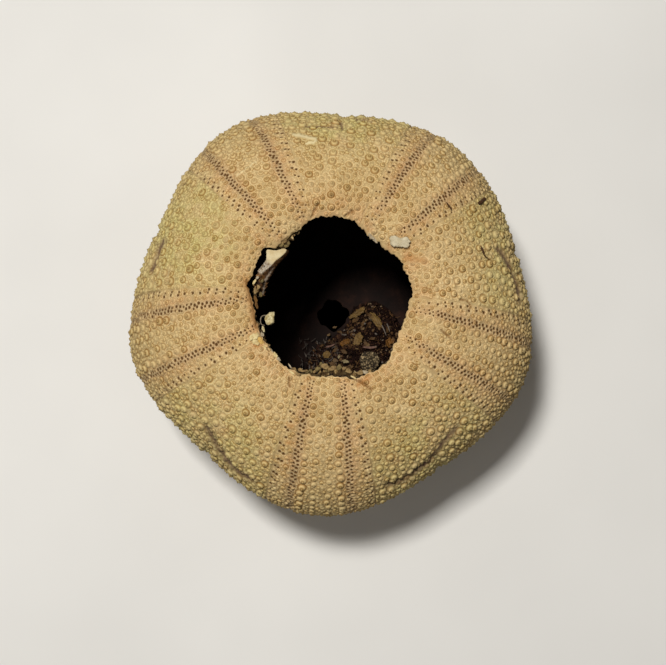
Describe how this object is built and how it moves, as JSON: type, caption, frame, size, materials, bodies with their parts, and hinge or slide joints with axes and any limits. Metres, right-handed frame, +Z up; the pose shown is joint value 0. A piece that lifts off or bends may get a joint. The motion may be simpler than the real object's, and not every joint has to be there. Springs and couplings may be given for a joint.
{
  "type": "sea urchin shell",
  "caption": "Dry globular shell of a regular sea urchin, lying mouth side up, with a ragged round opening, knobbed plates, pore bands and dirt inside.",
  "frame": {"origin": "middle of the shell's box, on the surface that the shell rests on, close to the vent in the foot", "axes": "+Z up through the mouth opening, +X and +Y as right and up in the picture"},
  "size_m": [0.0784, 0.0788, 0.0462],
  "materials": {
    "shell": "chalky dry calcite, tan with olive and purple tints, knobbed",
    "fresh_break": "clean cream fracture of the shell wall, fine grained",
    "white_chip": "chalky off-white, dull",
    "dirt": "dark crumbly dirt",
    "golden_flake": "brown-gold horny flake, slightly waxy",
    "granules": "grey-green, grainy like a crust of sand",
    "needle": "pale chalky spine splinter",
    "pink_sliver": "dull pinkish shell sliver",
    "dark_bit": "dark brown plant dirt"
  },
  "bodies": {
    "root": {"shell": "shell", "loose_rim_piece": "fresh_break", "pale_crumb": "fresh_break", "white_chip": "white_chip", "dirt_heap": "dirt", "golden_flake_1": "golden_flake", "golden_flake_2": "golden_flake", "golden_flake_3": "golden_flake", "golden_flake_4": "golden_flake", "golden_flake_5": "golden_flake", "golden_flake_6": "golden_flake", "granular_disc": "granules", "pale_needle_1": "needle", "pale_needle_2": "needle", "pink_sliver_1": "pink_sliver", "pink_sliver_2": "pink_sliver", "dark_bit": "dark_bit", "dark_splinter": "dark_bit", "dark_thread": "dark_bit"}
  },
  "joints": []
}
